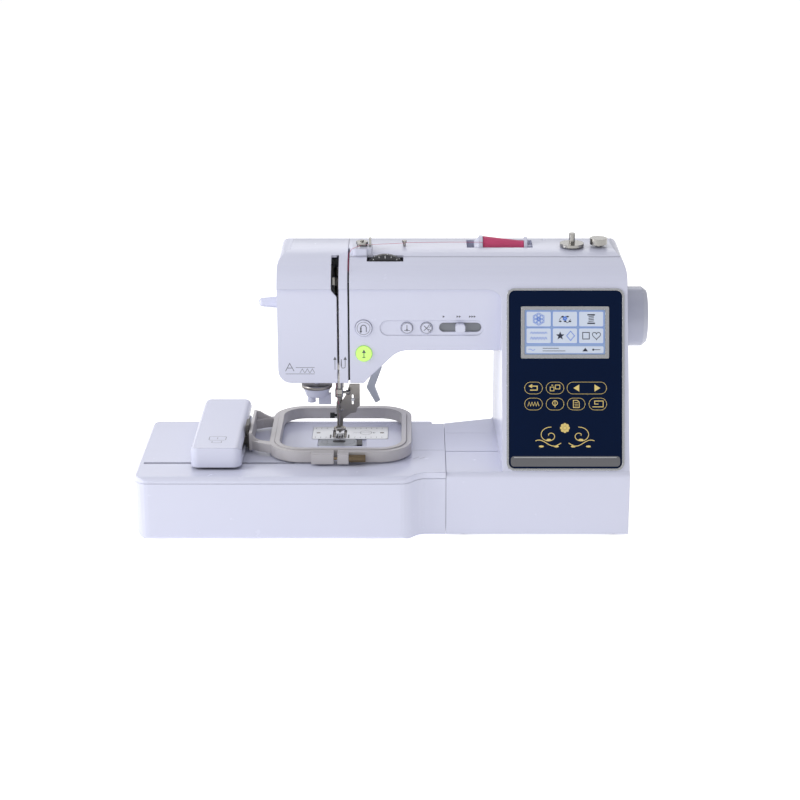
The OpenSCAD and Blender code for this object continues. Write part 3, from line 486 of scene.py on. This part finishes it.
# painted shadow: dark patch on the clear bobbin cover standing in for the shade beneath it
bobbin_shadow = Marks("bobbin_painted_shadow", on_level(COVER_Z), PAINTED_SHADE, lift=0.03)
bobbin_shadow.fill(pill(-68, -54, 12, 20, 3)).make()
cover = Marks("bobbin_cover_marks", on_level(COVER_Z), MARK_GREY, lift=0.05)
cover.line(ring(-61, 12, 14, 8, 30, 200, 340), 0.5)
cover.line([(-78, 5), (-74, 5), (-74, 19), (-78, 19)], 0.5)
cover.line(pill(-80, -44, 7.5, 21, 5), 0.5, True)
cover.make()
# painted shade: dark sheet inside the front, behind the right thread slot
thread_slot_shade = Marks("thread_slot_painted_shade", on_upright(THREAD_SLOT_SHADE_Y), PAINTED_SHADE, lift=0.0)
thread_slot_shade.fill([(-52.5, 153), (-44.5, 153), (-44.5, 262), (-52.5, 262)]).make()
bed = Marks("unit_marks", on_level(BED_Z), MARK_GREY, lift=0.05)
for k in range(3):
    bed.line([(14 + 7 * k, -40), (20 + 7 * k, -34)], 0.4)
bed.line(pill(4, 12, -42, -32, 1.5), 0.4, True)
bed.make()

# dial scale: ticks around the rim
dial = Marks("dial_scale", on_upright(DIAL_Y), MARK_WHITE, "tension_dial", lift=0.04)
for k in range(24):
    a = math.radians(15 * k)
    r0 = 22.5 if k % 3 == 0 else 24
    dial.line([(DIAL_X + r * math.cos(a), DIAL_Z + r * math.sin(a)) for r in (r0, 25.6)], 0.5)
dial.make()
rim = Marks("dial_rim_marks", lambda x, y, lift=0.0: Vector((
    DIAL_X + (DIAL_R + lift) * math.sin(math.radians(x)), y,
    DIAL_Z + (DIAL_R + lift) * math.cos(math.radians(x)))) * MM,
    MARK_WHITE, "tension_dial", lift=0.03, thick=0.02)
for k in range(12):
    rim.line([(30 * k + 5, 5.2), (30 * k + 5, 8.8)], 1.4)
rim.make()


# ---------- small round pieces ----------

def solid(name, verts, faces, material, body):
    mesh = bpy.data.meshes.new(name)
    mesh.from_pydata(verts, [], faces)
    mesh.update()
    mesh.materials.append(material)
    o = bpy.data.objects.new(name, mesh)
    bpy.context.scene.collection.objects.link(o)
    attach(o, body)
    return o


def lathe(name, centre, axis, profile, material, body, n=40):
    """Turned piece: profile is (distance along axis, radius) in mm."""
    a = Vector(axis).normalized()
    u = a.orthogonal().normalized()
    v = a.cross(u)
    verts, faces = [], []
    for d, r in profile:
        for i in range(n):
            t = 2 * math.pi * i / n
            out = (u * math.cos(t) + v * math.sin(t)) * r
            verts.append(tuple((Vector(centre) + a * d + out) * MM))
    rows = len(profile)
    for k in range(rows - 1):
        for i in range(n):
            j = (i + 1) % n
            faces.append([k * n + i, k * n + j, (k + 1) * n + j, (k + 1) * n + i])
    faces.append(list(range(n))[::-1])
    faces.append([(rows - 1) * n + i for i in range(n)])
    o = solid(name, verts, faces, material, body)
    for p in o.data.polygons:
        p.use_smooth = len(p.vertices) == 4
    return o


for k, x in enumerate((-85, -14)):
    lathe(f"plate_screw_{k}", (x, 44, 72.9), (0, 0, 1),
          [(0, 2.3), (0.35, 2.3), (0.5, 1.9), (0.5, 0.01)], MATS["steel_polished"], "machine")


lathe("threader_disc", (-86, 45, 127.7), (0, 0, 1),
      [(0, 16.6), (0.3, 17.1), (3.6, 17.1), (3.9, 16.6), (3.9, 3.2)],
      MATS["steel_brushed"], "threader_unit")


def block_piece(name, x0, x1, y0, y1, z0, z1, material, body, bevel=0.5):
    """Small machined block, its upright edges and its ends chamfered."""
    b = bevel
    mx, my = (x0 + x1) / 2, (y0 + y1) / 2
    plan = [(x0 + b, y0), (x1 - b, y0), (x1, y0 + b), (x1, y1 - b),
            (x1 - b, y1), (x0 + b, y1), (x0, y1 - b), (x0, y0 + b)]
    inner = [(mx + (x - mx) * 0.9, my + (y - my) * 0.9) for x, y in plan]
    rows = [(inner, z0), (plan, z0 + b), (plan, z1 - b), (inner, z1)]
    verts = [(x * MM, y * MM, z * MM) for pts, z in rows for x, y in pts]
    faces = [[k * 8 + i, k * 8 + (i + 1) % 8, (k + 1) * 8 + (i + 1) % 8, (k + 1) * 8 + i]
             for k in range(3) for i in range(8)]
    faces += [list(range(8))[::-1], [24 + i for i in range(8)]]
    return solid(name, verts, faces, material, body)


# needle clamp block with its thread guide, presser bar collar and foot holder
block_piece("needle_clamp", -65.6, -56.8, 35.4, 44.2, 117.6, 127.6,
            MATS["steel_polished"], "needle_bar", 1.2)
block_piece("clamp_guide", -64.4, -57.6, 33.6, 35.6, 119.6, 121.0,
            MATS["steel_polished"], "needle_bar", 0.4)
lathe("presser_collar", (-61, 51, 124), (0, 0, 1),
      [(0, 3.6), (0.6, 4.6), (7.4, 4.6), (8, 3.6)], MATS["steel_brushed"], "presser_bar")
block_piece("foot_holder", -64.8, -57.2, 48.4, 55.2, 95.6, 108,
            MATS["steel_brushed"], "presser_bar", 0.8)
lathe("foot_slot_pin", (-46.5, 44.9, 112), (0, 1, 0),
      [(0, 1.6), (0.3, 2.0), (0.9, 2.0)], MARK_WHITE, "embroidery_foot", 20)
lathe("foot_pivot", (-58.6, 44.9, 100), (0, 1, 0),
      [(0, 1.4), (0.4, 1.9), (0.9, 1.9)], MATS["steel_polished"], "embroidery_foot", 20)


def plate_piece(name, outline, y0, y1, material, body):
    """Flat plate standing in the XZ plane, outline in mm."""
    n = len(outline)
    verts = [(x * MM, y * MM, z * MM) for y in (y0, y1) for x, z in outline]
    faces = [list(range(n)), [n + i for i in range(n)][::-1]]
    faces += [[i, n + i, n + (i + 1) % n, (i + 1) % n] for i in range(n)]
    return solid(name, verts, faces, material, body)


# webs of the hoop's bracket and the release lever on the hoop holder
plate_piece("bracket_web_rear",
            [(-154.4, 86.8), (-135, 86.8), (-140, 89), (-146, 92), (-151, 95.4), (-154.4, 95.8)],
            53.5, 56.5, MATS["hoop_grey"], "hoop")
plate_piece("bracket_web_front",
            [(-154.4, 86.8), (-146, 86.8), (-149.5, 88.6), (-152.5, 91.4), (-154.4, 94.6)],
            -20.6, -17.8, MATS["hoop_grey"], "hoop")
block_piece("holder_lever", -161.6, -157.8, -14, 10, 90.1, 102, MATS["carriage_grey"], "hoop", 0.8)


def thread(name, pts, body, radius):
    c = bpy.data.curves.new(name, "CURVE")
    c.dimensions = "3D"
    c.bevel_depth = radius
    c.bevel_resolution = 2
    s = c.splines.new("POLY")
    s.points.add(len(pts) - 1)
    for q, p in zip(s.points, pts):
        q.co = (p[0] * MM, p[1] * MM, p[2] * MM, 1)
    c.materials.append(MATS["thread_pink"])
    o = bpy.data.objects.new(name, c)
    bpy.context.scene.collection.objects.link(o)
    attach(o, body)
    return o


thread("top_thread",
       [(99, 36.5, 292.8), (94, 35.6, 294.6), (60, 35.2, 294.8), (13.2, 34.2, 294.4),
        (11.4, 34.1, 294.0), (-30, 20.2, 295.6), (-34.5, 19.6, 295.6), (-44.5, 9.5, 293.8),
        (-47.9, 3, 289.6), (-48.05, -4, 286.2), (-48.05, -8, 281), (-48.05, -8.5, 274)],
       "machine", 0.0002)
thread("needle_thread",
       [(-63.6, 34.4, 184), (-63.6, 34.2, 121), (-62.2, 38.8, 112), (-61.6, 40.0, 106),
        (-61.4, 40.0, 84.4)],
       "needle_bar", 0.00016)


# ---------- studio ----------

def area(name, place, target, width, height, power):
    data = bpy.data.lights.new(name, "AREA")
    data.shape = "RECTANGLE"
    data.size, data.size_y = width, height
    data.energy = power
    o = bpy.data.objects.new(name, data)
    o.location = place
    o.rotation_euler = (Vector(target) - Vector(place)).to_track_quat("-Z", "Y").to_euler()
    bpy.context.scene.collection.objects.link(o)
    return o


area("key", (-0.9, -1.3, 1.9), (0, 0, 0.1), 1.4, 1.0, 3.0)
area("fill", (1.5, -1.2, 1.0), (0, 0, 0.15), 1.2, 1.2, 0.6)
area("overhead", (0, 0.4, 1.9), (0, -0.1, 0.1), 2.2, 1.4, 5.0)
area("side", (-1.6, -0.4, 0.9), (0, 0, 0.15), 0.9, 0.9, 16.0)
area("back", (-0.1, 1.9, 1.25), (0, 0, 0.08), 1.6, 0.9, 6.5)

world = bpy.data.worlds.new("studio")
bpy.context.scene.world = world
world.use_nodes = True
background = world.node_tree.nodes["Background"]
background.inputs["Color"].default_value = (1.0, 1.0, 1.0, 1)
background.inputs["Strength"].default_value = 0.50

mesh = bpy.data.meshes.new("floor")
w = 12.0
mesh.from_pydata([(-w, -w, 0), (w, -w, 0), (w, w, 0), (-w, w, 0)], [], [[0, 1, 2, 3]])
mesh.materials.append(finish_of(
    "floor_paper", (0.98, 0.98, 0.98), 0.9, vary=0.004, bump=0.02, grain=40, round_edge=0.0,
    glow=0.53))
floor = bpy.data.objects.new("floor", mesh)
bpy.context.scene.collection.objects.link(floor)

cam_data = bpy.data.cameras.new("camera")
cam_data.sensor_width = 36
cam_data.lens = 90.45
cam_data.shift_x = -0.01875
cam_data.clip_start, cam_data.clip_end = 0.05, 60
cam = bpy.data.objects.new("camera", cam_data)
cam.location = (0.0229, -2.078, 0.822)
cam.rotation_euler = (math.radians(90 - 18.5), 0, 0)
bpy.context.scene.collection.objects.link(cam)
bpy.context.scene.camera = cam
bpy.context.scene.view_settings.view_transform = "Standard"
